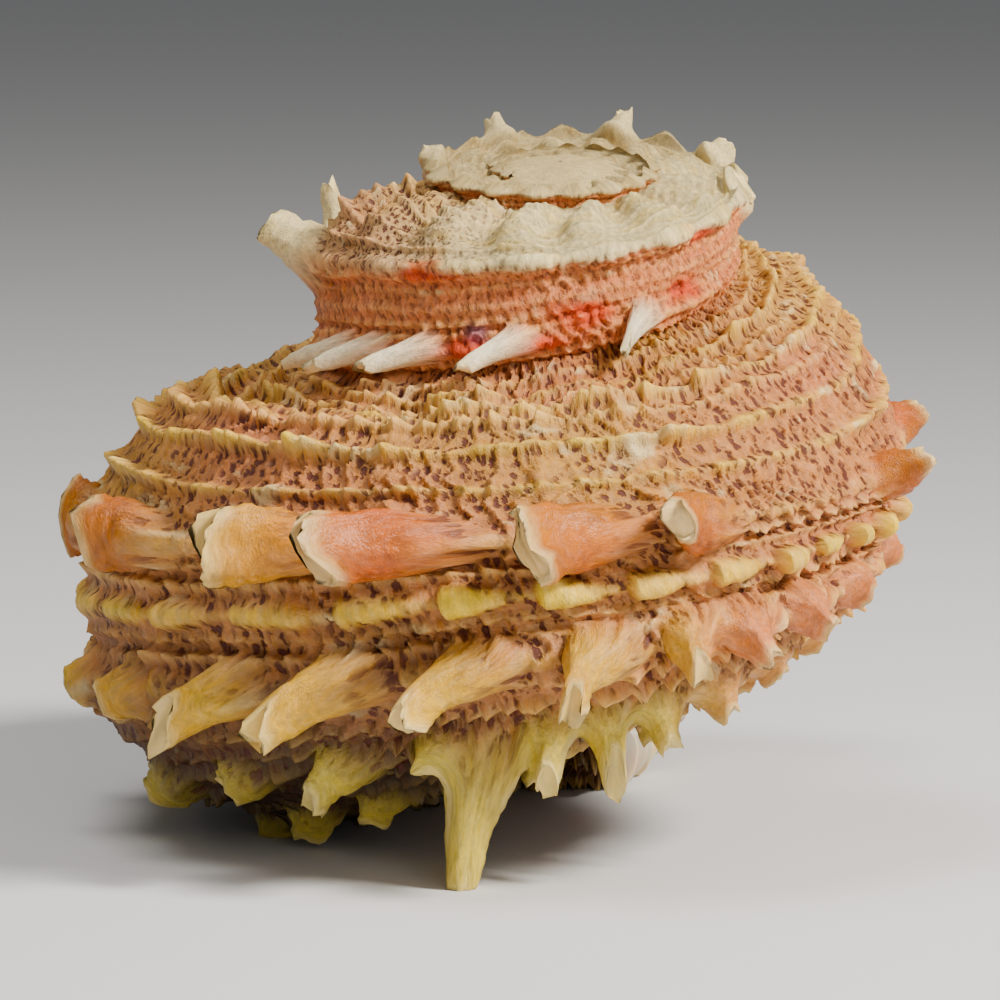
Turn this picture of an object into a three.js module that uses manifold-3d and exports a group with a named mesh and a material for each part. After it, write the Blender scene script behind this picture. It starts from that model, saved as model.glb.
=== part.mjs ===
// A dolphin shell (Angaria), a spiny sea snail's shell with its apex up.
// Millimetres, +Z up. The shell rests on its base spines, and its mouth is at the back.
import * as THREE from "three";
import { mergeVertices } from "three/addons/utils/BufferGeometryUtils.js";
import Module from "manifold-3d";

// Growth. Turns count clockwise from +X seen from above: the right side of the last whorl is turn -1,
// its front -0.75, its left side -0.5, and the lip is at the back.
const LEFT_RADIUS = 30.1; // from the coiling axis to the shoulder keel, at the left side of the last whorl
const LEFT_TURN = -0.5;
const WHORL_RATIO = 1.93; // how much the radius grows in one turn
const LIP_TURN = -0.18;
const FIRST_TURN = -4.3; // where the modelled spiral starts, under the apex cap
const GROWTH_SLANT = 0.35; // radians that the growth lines lag for each keel radius below the shoulder
const SMALL_TURN = 0.004; // for the direction of growth at a point

// Height of the shoulder keel at each quarter turn, from turn FIRST_LEVEL_TURN on, the last past the lip.
const FIRST_LEVEL_TURN = -2.75;
const LEVEL_STEP = 0.25;
const KEEL_LEVELS = [22.9, 22.7, 22.4, 21.9, 20.4, 17.2, 11.3, 5.4, 3.1, 0, 0.3, 0.5];

// The early whorls lean towards the front. The lean grows with height between these two levels.
const LEAN_FROM = -2;
const LEAN_TO = 16;
const LEAN = 0.17;

// One section of the whorl, in keel radii: distance from the axis and height above the shoulder keel.
const SUTURE_RHO = 0.48;
const RAMP_STEPS = [0, 0.12, 0.3, 0.52, 0.72, 0.88];
const CHANNEL_END = 0.65; // how far out over the ramp its channel reaches
const LOWER_OUTLINE = [
  [1.0, 0], // shoulder keel
  [0.975, -0.09],
  [1.0, -0.185], // side cord
  [0.975, -0.27],
  [1.0, -0.365], // lower keel
  [0.93, -0.47],
  [0.82, -0.57], // base keel
  [0.7, -0.63],
  [0.6, -0.665], // base cord
  [0.46, -0.67],
  [0.34, -0.61], // rim of the umbilicus
  [0.25, -0.48],
  [0.18, -0.28],
  [0.16, -0.04],
];
// The rest of the outline, inside the older whorl: distance from the axis, and depth below that whorl's keel.
const HIDDEN_OUTLINE = [
  [0.22, 0.2],
  [0.38, 0.14],
];
// The part below the keel is less deep on the right side.
const LOWER_TURNS = [-1.5, -1.22, -1.0, -0.75, -0.5, -0.18];
const LOWER_DEPTHS = [1.0, 0.86, 0.8, 0.86, 0.93, 0.8];

// How much wider than the older stretch a stretch of the spiral starts, about the middle of the section.
const SWELL = 0.012;
const SWELL_TURNS = 0.12;
const SECTION_MIDDLE = [0.58, -0.25];

// The hollow that opens at the lip.
const WALL = 2.1;
const HOLLOW_TURNS = 1.5;
const HOLLOW_STEPS = 27;
const HOLLOW_SIDES = 16;
const HOLLOW_AHEAD = 0.03; // turns that it runs out in front of the lip
const HOLLOW_INNER = 0.215; // the inner and outer side of the whorl beside it, in keel radii
const HOLLOW_OUTER = 0.975;
const HOLLOW_RAMP = 0.35; // the place of the ramp that it stays under
const HOLLOW_RISE = 0.03; // how far it may rise above the underside of the older whorl
const HOLLOW_END = 0.6; // the size of its last ring, as a share of the whole
const DEEPEST = 0.665; // depth of the underside below the keel

// The shell stands on its longest spine, in front, and on the spines under its left side and its back.
const REST_LEVEL = -20.2; // they are worn flat at this height
const FINEST = 0.06; // detail smaller than this is dropped

const wasm = await Module();
wasm.setup();

const clamp01 = (x) => Math.min(1, Math.max(0, x));
const smooth = (x) => clamp01(x) ** 2 * (3 - 2 * clamp01(x));
const radius = (turn) => LEFT_RADIUS * WHORL_RATIO ** (turn - LEFT_TURN);
const azimuth = (turn) => -2 * Math.PI * turn;

// A value read between listed points, in straight steps.
function between(x, xs, ys) {
  if (x <= xs[0]) return ys[0];
  for (let i = 1; i < xs.length; i++)
    if (x <= xs[i]) return ys[i - 1] + ((ys[i] - ys[i - 1]) * (x - xs[i - 1])) / (xs[i] - xs[i - 1]);
  return ys[ys.length - 1];
}

// The keel's height, as a smooth curve through KEEL_LEVELS.
function keelLevel(turn) {
  const last = KEEL_LEVELS.length - 1;
  const at = THREE.MathUtils.clamp((turn - FIRST_LEVEL_TURN) / LEVEL_STEP, 0, last - 1e-6);
  const i = Math.floor(at);
  const t = at - i;
  const level = (k) => KEEL_LEVELS[THREE.MathUtils.clamp(k, 0, last)];
  const [a, b] = [level(i), level(i + 1)];
  const [slopeA, slopeB] = [(b - level(i - 1)) / 2, (level(i + 2) - a) / 2];
  const fromStart = a * (1 + 2 * t) * (1 - t) ** 2 + slopeA * t * (1 - t) ** 2;
  const toEnd = b * t * t * (3 - 2 * t) + slopeB * t * t * (t - 1);
  return fromStart + toEnd;
}

const drop = (turn) => (keelLevel(turn - 1) - keelLevel(turn)) / radius(turn);
const depthBelow = (turn) => between(turn, LOWER_TURNS, LOWER_DEPTHS);

// Height of the suture, where a whorl meets the one before it.
const sutureLevel = (turn) => drop(turn) - between(drop(turn), [0.35, 0.55], [0.06, 0.24]);

// The ramp between the suture and the shoulder keel, with the shallow channel that the last whorl has.
function rampHeight(turn, v) {
  const channel = between(turn, [-1.0, -0.5], [0.08, 0.27]);
  const dip = v < CHANNEL_END ? channel * Math.sin((Math.PI * v) / CHANNEL_END) : 0;
  return sutureLevel(turn) * (1 - v ** 2.6) ** 0.75 * (1 - dip);
}

// The closed outline of the whorl at a turn, as [distance from the axis, height] in keel radii.
function outline(turn) {
  const ramp = RAMP_STEPS.map((v) => [SUTURE_RHO + (1 - SUTURE_RHO) * v, rampHeight(turn, v)]);
  const lower = LOWER_OUTLINE.map(([rho, zeta]) => [rho, zeta * depthBelow(turn)]);
  const hidden = HIDDEN_OUTLINE.map(([rho, depth]) => [rho, drop(turn) - depth]);
  return [...ramp, ...lower, ...hidden];
}

// A point of the shell, from its turn and its place in the section.
function place(turn, rho, zeta) {
  const angle = azimuth(turn) - GROWTH_SLANT * zeta;
  const r = radius(turn) * rho;
  const z = keelLevel(turn) + radius(turn) * zeta;
  const y = r * Math.sin(angle);
  const lean = LEAN * smooth((z - LEAN_FROM) / (LEAN_TO - LEAN_FROM));
  return new THREE.Vector3(r * Math.cos(angle), y, z + lean * y);
}

// Skins a row of rings of equal length, with a fan over each end.
function loft(rings) {
  const count = rings[0].length;
  const points = rings.flat();
  const index = [];
  for (let r = 0; r + 1 < rings.length; r++)
    for (let i = 0; i < count; i++) {
      const j = (i + 1) % count;
      const [a, b, c, d] = [r * count + i, r * count + j, (r + 1) * count + i, (r + 1) * count + j];
      index.push(a, b, c, b, d, c);
    }
  for (const [first, flip] of [
    [0, true],
    [(rings.length - 1) * count, false],
  ]) {
    const centre = points.length;
    const ring = points.slice(first, first + count);
    points.push(ring.reduce((sum, p) => sum.add(p), new THREE.Vector3()).divideScalar(count));
    for (let i = 0; i < count; i++) {
      const [a, b] = [first + i, first + ((i + 1) % count)];
      index.push(...(flip ? [b, a, centre] : [a, b, centre]));
    }
  }
  return new THREE.BufferGeometry().setFromPoints(points).setIndex(index);
}

// A closed geometry as a manifold-3d solid, turned right side out.
function solid(geometry) {
  const bare = geometry.index ? geometry.toNonIndexed() : geometry.clone();
  for (const name of Object.keys(bare.attributes)) if (name !== "position") bare.deleteAttribute(name);
  const merged = mergeVertices(bare, 1e-4);
  const vertProperties = merged.attributes.position.array;
  const make = (triVerts) => new wasm.Manifold(new wasm.Mesh({ numProp: 3, vertProperties, triVerts }));
  const triangles = new Uint32Array(merged.index.array);
  const made = make(triangles);
  return made.volume() > 0 ? made : make(triangles.reverse());
}

// A stretch of the spiral. It starts a little swollen, so that it laps over the end of the older stretch.
function whorl(from, to, steps) {
  const rings = [];
  for (let i = 0; i <= steps; i++) {
    const turn = from + ((to - from) * i) / steps;
    const swell = 1 + SWELL * clamp01(1 - (turn - from) / SWELL_TURNS);
    const swollen = (x, k) => SECTION_MIDDLE[k] + (x - SECTION_MIDDLE[k]) * swell;
    rings.push(outline(turn).map((point) => place(turn, ...point.map(swollen))));
  }
  return solid(loft(rings));
}

// The hollow, round, under the older whorl, and closed deep inside.
function hollow() {
  const rings = [];
  for (let i = 0; i <= HOLLOW_STEPS; i++) {
    const turn = LIP_TURN + HOLLOW_AHEAD - (HOLLOW_TURNS * i) / HOLLOW_STEPS;
    const wall = WALL / radius(turn);
    const underOlder = drop(turn) - (DEEPEST * depthBelow(turn - 1)) / WHORL_RATIO;
    const top = Math.min(rampHeight(turn, HOLLOW_RAMP) - wall, underOlder + HOLLOW_RISE);
    const bottom = -DEEPEST * depthBelow(turn) + wall;
    const [inner, outer] = [HOLLOW_INNER + wall, HOLLOW_OUTER - wall];
    const close = i === HOLLOW_STEPS ? HOLLOW_END : 1;
    const ring = [];
    for (let k = 0; k < HOLLOW_SIDES; k++) {
      const angle = (2 * Math.PI * k) / HOLLOW_SIDES;
      const rho = (inner + outer) / 2 + ((outer - inner) / 2) * close * Math.cos(angle);
      const zeta = (top + bottom) / 2 + ((top - bottom) / 2) * close * Math.sin(angle);
      ring.push(place(turn, rho, zeta));
    }
    rings.push(ring);
  }
  return solid(loft(rings));
}

// One spine: it leaves the surface at an angle in the section and leans the way the shell grows. Its breadth
// and its thickness change to `tip` and `thin` of what they are at its foot.
const SPINE_SIDES = 6;
const SPINE_RINGS = [-0.12, 0.35, 0.72, 1]; // along its length, from under the surface to the tip
function spine({ turn, rho, zeta, out, lean, length, width, thick, tip, thin = tip }) {
  const base = place(turn, rho, zeta);
  const forward = place(turn + SMALL_TURN, rho, zeta).sub(base).normalize();
  const away = THREE.MathUtils.degToRad(out);
  const step = 0.02;
  const outward = place(turn, rho + step * Math.cos(away), zeta + step * Math.sin(away));
  outward.sub(base).normalize();
  outward.addScaledVector(forward, -outward.dot(forward)).normalize();
  const across = new THREE.Vector3().crossVectors(forward, outward);
  const angle = THREE.MathUtils.degToRad(lean);
  const way = outward.clone().multiplyScalar(Math.cos(angle)).addScaledVector(forward, Math.sin(angle));
  const side = new THREE.Vector3().crossVectors(across, way).normalize();
  const rings = SPINE_RINGS.map((t) => {
    const centre = base.clone().addScaledVector(way, length * t);
    const breadth = width * THREE.MathUtils.lerp(1, tip, Math.max(0, t));
    const depth = thick * THREE.MathUtils.lerp(1, thin, Math.max(0, t));
    const ring = [];
    for (let k = 0; k < SPINE_SIDES; k++) {
      const around = (2 * Math.PI * k) / SPINE_SIDES;
      const point = centre.clone().addScaledVector(across, (breadth / 2) * Math.cos(around));
      ring.push(point.addScaledVector(side, (depth / 2) * Math.sin(around)));
    }
    return ring;
  });
  return solid(loft(rings));
}

// The rows of spines: where they sit in the section, and their shape.
const ROWS = {
  shoulder: { rho: 0.965, zeta: 0.02, out: 4, width: 5.2, thick: 3.4, tip: 1.05, thin: 0.5 },
  lower: { rho: 0.965, zeta: -0.36, out: -34, width: 4.4, thick: 3.2, tip: 0.75, thin: 0.5 },
  base: { rho: 0.8, zeta: -0.56, out: -62, width: 4.2, thick: 3.2, tip: 0.7, thin: 0.5 },
  cord: { rho: 0.6, zeta: -0.64, out: -88, width: 3.6, thick: 3.0, tip: 0.7, thin: 0.6 },
};

// Each spine as [turn, length, lean in degrees], from the lip back to the hidden side of the whorl.
const SPINES = {
  shoulder: [
    [-0.235, 3.5, 45], [-0.3, 4, 50], [-0.365, 4.4, 58], [-0.43, 4.2, 60], [-0.5, 4.4, 60], [-0.571, 5.5, 56],
    [-0.648, 8, 52], [-0.714, 9, 53], [-0.78, 8, 52], [-0.834, 4.5, 45], [-0.915, 4.3, 8], [-1.015, 2.6, 5],
    [-1.095, 1.6, 20], [-1.175, 2, 25],
  ],
  lower: [
    [-0.25, 4, 45], [-0.31, 4, 50], [-0.37, 4, 55], [-0.43, 4, 58], [-0.49, 3.2, 58], [-0.545, 4, 55],
    [-0.604, 6.5, 50], [-0.651, 7.4, 47], [-0.7, 7, 46], [-0.745, 6.5, 30], [-0.783, 3.6, 15],
    [-0.808, 3.6, 5], [-0.842, 2.8, 0], [-0.884, 1.7, 0], [-0.95, 1.6, 0],
  ],
  base: [
    [-0.205, 5, 5], [-0.26, 3.4, 30], [-0.32, 3, 40], [-0.38, 3, 45], [-0.44, 3, 50], [-0.5, 3, 50],
    [-0.564, 3.5, 50], [-0.622, 4.5, 45], [-0.669, 4.5, 38], [-0.718, 4, 20], [-0.744, 4.2, 12],
    [-0.768, 3.8, 5], [-0.799, 2.4, 0], [-0.839, 1.9, 0], [-0.889, 1.5, 0],
  ],
  cord: [
    [-0.19, 2.6, 0], [-0.255, 2.2, 10], [-0.325, 2.4, 15], [-0.38, 2.6, 15], [-0.44, 2.6, 15],
    [-0.49, 2.6, 10], [-0.543, 2.2, 30], [-0.6, 2.6, 35], [-0.7, 2, 15], [-0.78, 1.8, 10], [-0.87, 1.8, 10],
  ],
};

// The spine that the shell stands on in front.
const LONG_SPINE = {
  turn: -0.684,
  rho: 0.78,
  zeta: -0.5,
  out: -80,
  lean: 19,
  length: 10.5,
  width: 5.4,
  thick: 4.4,
  tip: 0.42,
};

// Spines of the older whorls: the white fins and lobes of the shoulder, and the thin ones above the suture.
const SPIRE_SPINES = [
  { turn: -1.489, length: 4.4, out: 12, lean: 5, width: 3.4, thick: 2.4, tip: 1 },
  { turn: -1.385, length: 3.2, out: 50, lean: 0, width: 1.8, thick: 1.6, tip: 0.8 },
  { turn: -1.289, length: 3, out: 20, lean: 15, width: 3.2, thick: 2.2, tip: 0.6 },
  { turn: -1.979, length: 1.4, out: 10, lean: 10, width: 3.4, thick: 2.4, tip: 0.6 },
  { turn: -2.064, length: 1.8, out: 45, lean: 0, width: 3.2, thick: 1.8, tip: 0.5 },
  { turn: -2.184, length: 2.4, out: 60, lean: 0, width: 4.2, thick: 2.2, tip: 0.25 },
  { turn: -2.319, length: 1.8, out: 60, lean: 0, width: 2.8, thick: 2, tip: 0.5 },
  { turn: -2.459, length: 1.2, out: 30, lean: 0, width: 2.4, thick: 1.6, tip: 0.5 },
].map((shape) => ({ rho: 0.96, zeta: 0, ...shape }));
const SUTURE_SPINE_TURNS = [-1.25, -1.4, -1.554, -1.585, -1.631, -1.698, -1.797];
const SUTURE_SPINE = {
  rho: 0.98,
  zeta: -0.34,
  out: -14,
  lean: 48,
  length: 4.9,
  width: 1.9,
  thick: 1.5,
  tip: 0.8,
};

// The spines of the last whorl keep their full breadth from its front on, and are narrower before that.
const FULL_SIZE_TURN = -0.75;
function rowSpine(row, turn, length, lean) {
  const size = Math.min(1, radius(turn) / radius(FULL_SIZE_TURN)) ** 0.5;
  const zeta = row.zeta * depthBelow(turn);
  return spine({ ...row, zeta, width: row.width * size, thick: row.thick * size, turn, length, lean });
}

function spines() {
  const made = [];
  for (const [name, list] of Object.entries(SPINES))
    for (const [turn, length, lean] of list) made.push(rowSpine(ROWS[name], turn, length, lean));
  made.push(spine(LONG_SPINE));
  for (const shape of SPIRE_SPINES) made.push(spine(shape));
  for (const turn of SUTURE_SPINE_TURNS) made.push(spine({ ...SUTURE_SPINE, turn }));
  return made;
}

// The first whorls are a low cap over the apex.
const CAP_TURN = -2.6;
const CAP_WIDTH = 0.6; // of the keel radius there
const CAP_HEIGHT = 1.9;
const CAP_DEPTH = 1.6; // of its middle below the keel
function apexCap() {
  const half = radius(CAP_TURN) * CAP_WIDTH;
  const geometry = new THREE.SphereGeometry(1, 12, 8).scale(half, half, CAP_HEIGHT);
  return solid(geometry.translate(0, 0, keelLevel(CAP_TURN) - CAP_DEPTH));
}

// The spiral in stretches of about one turn, each as [first turn, last turn, steps], with a short lap.
const STRETCHES = [
  [-1.23, LIP_TURN, 34],
  [-2.23, -1.2, 26],
  [-3.22, -2.2, 15],
  [FIRST_TURN, -3.19, 8],
];
const stretches = STRETCHES.map(([from, to, steps]) => whorl(from, to, steps));
const body = [...stretches, apexCap(), ...spines()].reduce((all, one) => all.add(one));
const worn = body.subtract(hollow()).trimByPlane([0, 0, 1], REST_LEVEL).simplify(FINEST);
// The cut whorls leave slivers of no size where they touch, so only the shell itself is kept.
const standing = worn.decompose().reduce((all, one) => (one.volume() > all.volume() ? one : all));

function geometryOf(manifold) {
  const mesh = manifold.getMesh();
  const geometry = new THREE.BufferGeometry();
  geometry.setAttribute("position", new THREE.BufferAttribute(mesh.vertProperties, 3));
  geometry.setIndex(new THREE.BufferAttribute(mesh.triVerts, 1));
  geometry.computeVertexNormals();
  return geometry;
}

const shellMesh = new THREE.Mesh(
  geometryOf(standing),
  new THREE.MeshStandardMaterial({ color: 0xd9a36c, roughness: 0.55, metalness: 0 }),
);
shellMesh.name = "shell";
// It is centred over the middle of its box, and its worn spines stand at height 0.
const box = standing.boundingBox();
shellMesh.position.set(-(box.min[0] + box.max[0]) / 2, -(box.min[1] + box.max[1]) / 2, -REST_LEVEL);

const group = new THREE.Group();
group.add(shellMesh);
export default group;
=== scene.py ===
# A dolphin shell (Angaria) on a pale floor, seen from the side with its apex up.
# The surface is a grid along the growth of the spiral, in millimetres, and its relief and spines are
# raised from it.
import math

import bpy
import numpy as np
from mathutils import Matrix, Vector


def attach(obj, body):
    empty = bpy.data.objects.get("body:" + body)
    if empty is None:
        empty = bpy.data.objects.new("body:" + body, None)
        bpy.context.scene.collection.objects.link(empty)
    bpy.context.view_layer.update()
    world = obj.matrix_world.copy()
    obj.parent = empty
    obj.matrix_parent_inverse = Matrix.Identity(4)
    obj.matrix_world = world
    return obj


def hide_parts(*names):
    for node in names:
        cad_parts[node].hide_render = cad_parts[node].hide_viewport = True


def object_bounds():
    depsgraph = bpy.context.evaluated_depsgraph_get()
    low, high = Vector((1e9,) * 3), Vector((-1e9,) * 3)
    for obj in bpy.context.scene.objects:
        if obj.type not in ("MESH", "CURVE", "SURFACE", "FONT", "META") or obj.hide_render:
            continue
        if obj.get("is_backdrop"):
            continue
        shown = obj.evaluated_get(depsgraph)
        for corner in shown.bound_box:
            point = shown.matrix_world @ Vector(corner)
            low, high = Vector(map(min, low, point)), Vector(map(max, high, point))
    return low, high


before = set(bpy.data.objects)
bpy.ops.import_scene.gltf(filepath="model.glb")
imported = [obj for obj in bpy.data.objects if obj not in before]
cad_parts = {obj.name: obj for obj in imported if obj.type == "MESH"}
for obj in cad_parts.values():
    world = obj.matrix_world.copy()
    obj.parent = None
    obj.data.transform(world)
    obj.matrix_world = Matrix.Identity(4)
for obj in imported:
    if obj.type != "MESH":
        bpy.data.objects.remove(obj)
cad_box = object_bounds()
MM = 0.001

# Where the coiling axis stands in the frame, with the shoulder keel's height at the left side as its zero.
AXIS = np.array([4.449, -3.566, 20.2])
FLOOR = -20.2  # the level that the lowest spine tips are worn down to

# Growth. Turns count clockwise from +X seen from above: the right side of the last whorl is turn -1,
# its front -0.75, its left side -0.5, and the lip is at the back.
LEFT_RADIUS = 30.1
LEFT_TURN = -0.5
FRONT_TURN = -0.75
WHORL_RATIO = 1.93  # how much wider each whorl is than the one before
LIP_TURN = -0.18
GROWTH_SLANT = 0.35  # radians that the growth lines slant back for each keel radius of height

# Height of the shoulder keel, from a first turn on and one for each step of turns.
FIRST_LEVEL_TURN = -2.75
LEVEL_STEP = 0.25
KEEL_LEVELS = np.array([22.9, 22.7, 22.4, 21.9, 20.4, 17.2, 11.3, 5.4, 3.1, 0, 0.3, 0.5])
LEAN_FROM, LEAN_TO = -2.0, 16.0  # between these heights the spire comes to lean back
LEAN = 0.17

# The section of a whorl: distance from the axis and height, in keel radii.
SUTURE_RHO = 0.48
LOWER_OUTLINE = np.array(
    [
        [1.0, 0.0],  # shoulder keel
        [0.975, -0.09],
        [1.0, -0.185],  # side cord
        [0.975, -0.27],
        [1.0, -0.365],  # lower keel
        [0.93, -0.47],
        [0.82, -0.57],  # base keel
        [0.7, -0.63],
        [0.6, -0.665],  # base cord
        [0.46, -0.67],
        [0.34, -0.61],  # rim of the umbilicus
        [0.25, -0.48],
        [0.18, -0.28],
        [0.16, -0.04],
    ]
)
DEEPEST = 0.665  # depth of the base cord
LOWER_TURNS = [-1.5, -1.22, -1.0, -0.75, -0.5, -0.18]
LOWER_DEPTHS = [1.0, 0.84, 0.7, 0.85, 0.93, 0.8]  # share of its depth that the outline has at those turns
SLIMMER_RIGHT = 0.07  # the right side's lower part is drawn in by this share

# The hollow: the wall's thickness in millimetres, the reach from the axis, and how far the hollow rises into
# the older whorl's floor, in keel radii.
WALL = 2.1
HOLLOW_INNER, HOLLOW_OUTER = 0.215, 0.975
HOLLOW_RISE = 0.03

# Places along the section, called q: 0 at the suture, 1 at the keel, then one for each point below it.
SHOULDER, SIDE_CORD, LOWER_KEEL, BASE_KEEL, BASE_CORD, RIM = 1, 3, 5, 7, 9, 11
SECTION_END = 14
SECTION_STEPS = 2801  # points that lengths along the section are worked out from
REFERENCE_RADIUS = 27.0  # sizes of the relief are given for this keel radius, and grow with the shell


def clamp01(x):
    return np.clip(x, 0.0, 1.0)


def smooth(x):
    x = clamp01(x)
    return x * x * (3 - 2 * x)


def mix(a, b, t):
    return a + (b - a) * t


def radius(turn):
    return LEFT_RADIUS * WHORL_RATIO ** (turn - LEFT_TURN)


def keel_level(turn):
    last = len(KEEL_LEVELS) - 1
    at = np.clip((np.asarray(turn) - FIRST_LEVEL_TURN) / LEVEL_STEP, 0, last - 1e-6)
    i = np.floor(at).astype(int)
    t = at - i
    level = lambda k: KEEL_LEVELS[np.clip(k, 0, last)]
    a, b = level(i), level(i + 1)
    slope_a, slope_b = (b - level(i - 1)) / 2, (level(i + 2) - a) / 2
    start = a * (1 + 2 * t) * (1 - t) ** 2 + slope_a * t * (1 - t) ** 2
    return start + b * t * t * (3 - 2 * t) + slope_b * t * t * (t - 1)


def drop(turn):
    return (keel_level(turn - 1) - keel_level(turn)) / radius(turn)


def depth_below(turn):
    return np.interp(turn, LOWER_TURNS, LOWER_DEPTHS)


def suture_level(turn):
    return drop(turn) - np.interp(drop(turn), [0.35, 0.55], [0.06, 0.24])


def ramp_height(turn, v):
    channel = np.interp(turn, [-1.0, -0.5], [0.08, 0.27])
    dip = np.where(v < 0.65, channel * np.sin(math.pi * v / 0.65), 0)
    return suture_level(turn) * np.maximum(1 - v**2.6, 0) ** 0.75 * (1 - dip)


def lower_outline(q):
    """The outline below the keel as a smooth curve through its points."""
    at = np.clip(q - 1, 0, len(LOWER_OUTLINE) - 1 - 1e-6)
    i = np.floor(at).astype(int)
    t = (at - i)[..., None]
    point = lambda k: LOWER_OUTLINE[np.clip(k, 0, len(LOWER_OUTLINE) - 1)]
    a, b, c, d = point(i - 1), point(i), point(i + 1), point(i + 2)
    curve = 0.5 * (2 * b + (c - a) * t + (2 * a - 5 * b + 4 * c - d) * t**2 + (3 * b - a - 3 * c + d) * t**3)
    return curve[..., 0], curve[..., 1]


def section(turn, q):
    """Distance from the axis and height above the keel, in keel radii."""
    v = clamp01(q)
    low_rho, low_zeta = lower_outline(q)
    slimmer = smooth((-0.78 - turn) / 0.2) * smooth((turn + 1.3) / 0.2) * smooth((q - 1.5) / 3.5)
    rho = np.where(q < 1, SUTURE_RHO + (1 - SUTURE_RHO) * v, low_rho * (1 - SLIMMER_RIGHT * slimmer))
    zeta = np.where(q < 1, ramp_height(turn, v), low_zeta * depth_below(turn))
    return rho, zeta


def place(turn, rho, zeta):
    angle = -2 * math.pi * turn - GROWTH_SLANT * zeta
    r = radius(turn) * rho
    z = keel_level(turn) + radius(turn) * zeta
    y = r * np.sin(angle)
    lean = LEAN * smooth((z - LEAN_FROM) / (LEAN_TO - LEAN_FROM))
    return np.stack([r * np.cos(angle), y, z + lean * y], -1)


def surface(turn, q):
    return place(turn, *section(turn, q))


def unit(v):
    return v / np.maximum(np.linalg.norm(v, axis=-1, keepdims=True), 1e-12)


def grid_normals(points):
    along = np.gradient(points, axis=0)
    across = np.gradient(points, axis=1)
    return unit(np.cross(along, across))


def hashed(*keys):
    """A steady random number from 0 to 1 for each set of whole numbers."""
    total = np.zeros(np.broadcast(*keys).shape)
    for k, key in enumerate(keys):
        total = total + np.asarray(key) * (12.9898 + 65.233 * k)
    return np.abs(np.sin(total + 4.1414) * 43758.5453) % 1.0


def value_noise(x, y, seed=0):
    i, j = np.floor(x), np.floor(y)
    fx, fy = smooth(x - i), smooth(y - j)
    corner = lambda a, b: hashed(i + a, j + b, seed)
    return mix(mix(corner(0, 0), corner(1, 0), fx), mix(corner(0, 1), corner(1, 1), fx), fy)


def section_length(q):
    """Length along the section from the suture, in keel radii, at the front of the last whorl."""
    fine = np.linspace(0, SECTION_END, SECTION_STEPS)
    points = np.stack(section(np.full_like(fine, FRONT_TURN), fine), -1)
    steps = np.linalg.norm(np.diff(points, axis=0), axis=1)
    return np.interp(q, fine, np.concatenate([[0], np.cumsum(steps)]))


def place_at_length(length):
    fine = np.linspace(0, SECTION_END, SECTION_STEPS)
    return np.interp(length, section_length(fine), fine)


# The spiral cords: place along the section, half width and height in keel radii, length of a scale in
# turns, height of a scale in keel radii, and how yellow it is.
CORDS = [
    (0.15, 0.014, 0.006, 0.018, 0.010, 0.2),
    (0.27, 0.018, 0.010, 0.030, 0.014, 0.6),
    (0.40, 0.014, 0.006, 0.019, 0.010, 0.2),
    (0.53, 0.019, 0.011, 0.038, 0.017, 0.8),
    (0.65, 0.014, 0.006, 0.019, 0.010, 0.2),
    (0.77, 0.020, 0.012, 0.042, 0.020, 1.0),
    (0.90, 0.018, 0.010, 0.030, 0.016, 0.7),
    (SHOULDER, 0.024, 0.006, 0.025, 0.008, 0.2),
    (1.6, 0.013, 0.007, 0.013, 0.010, 0.0),
    (2.25, 0.013, 0.007, 0.014, 0.010, 0.1),
    (SIDE_CORD, 0.030, 0.004, 0.036, 0.036, 1.3),
    (3.7, 0.013, 0.007, 0.013, 0.011, 0.1),
    (4.35, 0.013, 0.007, 0.015, 0.011, 0.0),
    (LOWER_KEEL, 0.020, 0.010, 0.022, 0.010, 0.4),
    (5.55, 0.014, 0.008, 0.014, 0.011, 0.1),
    (6.1, 0.014, 0.008, 0.016, 0.011, 0.2),
    (6.6, 0.013, 0.007, 0.014, 0.010, 0.1),
    (BASE_KEEL, 0.020, 0.010, 0.022, 0.010, 0.6),
    (7.6, 0.014, 0.008, 0.015, 0.010, 0.3),
    (8.3, 0.014, 0.008, 0.015, 0.010, 0.4),
    (BASE_CORD, 0.020, 0.010, 0.020, 0.012, 0.7),
    (9.55, 0.013, 0.008, 0.014, 0.010, 0.4),
    (10.2, 0.013, 0.008, 0.014, 0.010, 0.3),
    (RIM, 0.022, 0.014, 0.016, 0.018, 0.4),
    (11.8, 0.013, 0.006, 0.013, 0.008, 0.1),
    (12.6, 0.013, 0.005, 0.013, 0.006, 0.0),
]

# The rows of spines, in millimetres and degrees. q: place along the section. out: direction in the plane of
# the section, 0 away from the axis and -90 down. width, thick: size of the foot. tip, thin: the shares of
# them that are left at the tip. bend: how much it curves. foot: how far the foot flares. hollow: depth of
# the gutter in its front.
ROWS = {
    "shoulder": dict(
        q=SHOULDER, out=4, width=3.9, thick=3.0, tip=1.25, thin=1.0, bend=14, foot=0.5, hollow=0.95
    ),
    "lower": dict(
        q=LOWER_KEEL, out=-34, width=3.3, thick=2.9, tip=0.95, thin=0.8, bend=24, foot=0.4, hollow=0.8
    ),
    "base": dict(
        q=BASE_KEEL, out=-62, width=3.6, thick=3.2, tip=0.8, thin=0.6, bend=14, foot=0.5, hollow=0.6
    ),
    "cord": dict(
        q=BASE_CORD, out=-88, width=3.4, thick=3.0, tip=0.7, thin=0.6, bend=8, foot=0.5, hollow=0.4
    ),
}

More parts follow.
